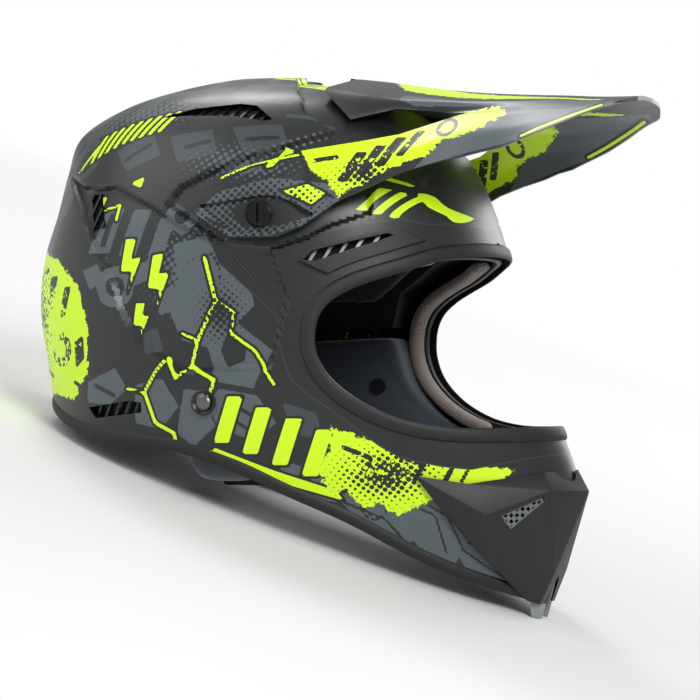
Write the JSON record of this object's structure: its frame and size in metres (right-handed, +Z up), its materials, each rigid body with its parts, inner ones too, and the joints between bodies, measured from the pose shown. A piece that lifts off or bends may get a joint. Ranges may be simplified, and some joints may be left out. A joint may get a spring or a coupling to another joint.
{
  "type": "motocross helmet",
  "caption": "Full-face off-road helmet with long chin bar, adjustable peak, open eyeport, vents, padded liner and double D-ring strap.",
  "frame": {"origin": "middle of the helmet's footprint on the surface that it stands on", "axes": "+X to the front, +Y to the wearer's left, +Z up, standing on the lower trim"},
  "size_m": [0.3798, 0.2518, 0.3123],
  "materials": {
    "shell_plastic": "satin printed shell, grey, black and yellow-green",
    "peak_plastic": "satin printed peak, yellow-green on dark grey",
    "vent_plastic": "matt black moulding",
    "trim_rubber": "matt black rubber",
    "trim_cap": "pale grey moulding",
    "vent_mesh": "pale woven mesh",
    "dark_mesh": "matt black grille",
    "impact_foam": "beaded foam",
    "liner_fabric": "brushed grey fabric",
    "knit_fabric": "knitted spacer fabric",
    "webbing": "woven black webbing",
    "bezel_metal": "dark dished washer",
    "rivet_metal": "satin rivet",
    "ring_metal": "plated steel",
    "screw_metal": "black coated screw"
  },
  "bodies": {
    "shell": {"outer_shell": "shell_plastic", "impact_liner": "impact_foam", "chin_liner": "impact_foam", "eyeport_trim": "trim_rubber", "eyeport_piping": "knit_fabric", "base_trim": "trim_rubber", "base_trim_end_left": "trim_cap", "base_trim_end_right": "trim_cap", "chin_vent_cover": "vent_plastic", "chin_vent_mesh": "vent_mesh", "breath_mesh": "vent_plastic", "brow_vent_panel_left": "vent_plastic", "brow_vent_panel_right": "vent_plastic", "brow_vent_mesh": "vent_mesh", "brow_intake": "vent_plastic", "crown_vent_mesh": "dark_mesh", "rear_exhaust_grille": "dark_mesh", "cheek_vent_grille": "dark_mesh", "comfort_liner": "liner_fabric", "cheek_pad_left": "liner_fabric", "cheek_pad_right": "liner_fabric", "neck_roll": "liner_fabric", "pad_snaps": "vent_plastic", "rivet_bezels": "bezel_metal", "strap_rivet_left": "rivet_metal", "strap_rivet_right": "rivet_metal", "chin_strap_left": "webbing", "chin_strap_right": "webbing", "strap_pad_left": "liner_fabric", "strap_pad_right": "liner_fabric", "peak_inserts": "ring_metal"},
    "peak": {"peak": "peak_plastic", "peak_bushes": "vent_plastic"},
    "screw_left": {"peak_screw_left": "screw_metal"},
    "screw_right": {"peak_screw_right": "screw_metal"},
    "screw_centre": {"peak_screw_centre": "screw_metal"},
    "ring_outer": {"d_ring_outer": "ring_metal"},
    "ring_inner": {"d_ring_inner": "ring_metal"}
  },
  "joints": [
    {"name": "peak_tilt", "type": "hinge", "parent": "shell", "child": "peak", "pos_m": [-0.02415, 0, 0.17168], "axis": [0, -1, 0], "range_deg": [-4, 3]},
    {"name": "screw_left_turn", "type": "hinge", "parent": "shell", "child": "screw_left", "pos_m": [-0.02415, 0.12, 0.17168], "axis": [0, 1, 0], "continuous": true},
    {"name": "screw_right_turn", "type": "hinge", "parent": "shell", "child": "screw_right", "pos_m": [-0.02415, -0.12, 0.17168], "axis": [0, -1, 0], "continuous": true},
    {"name": "screw_centre_turn", "type": "hinge", "parent": "shell", "child": "screw_centre", "pos_m": [-0.03792, 0, 0.25859], "axis": [-0.1564, 0, 0.9877], "continuous": true},
    {"name": "ring_outer_swing", "type": "hinge", "parent": "shell", "child": "ring_outer", "pos_m": [-0.00114, -0.06, 0.02049], "axis": [0.9304, 0, 0.3665], "range_deg": [0, 60]},
    {"name": "ring_inner_swing", "type": "hinge", "parent": "shell", "child": "ring_inner", "pos_m": [0.00047, -0.06, 0.0164], "axis": [0.9304, 0, 0.3665], "range_deg": [-20, 0]}
  ]
}
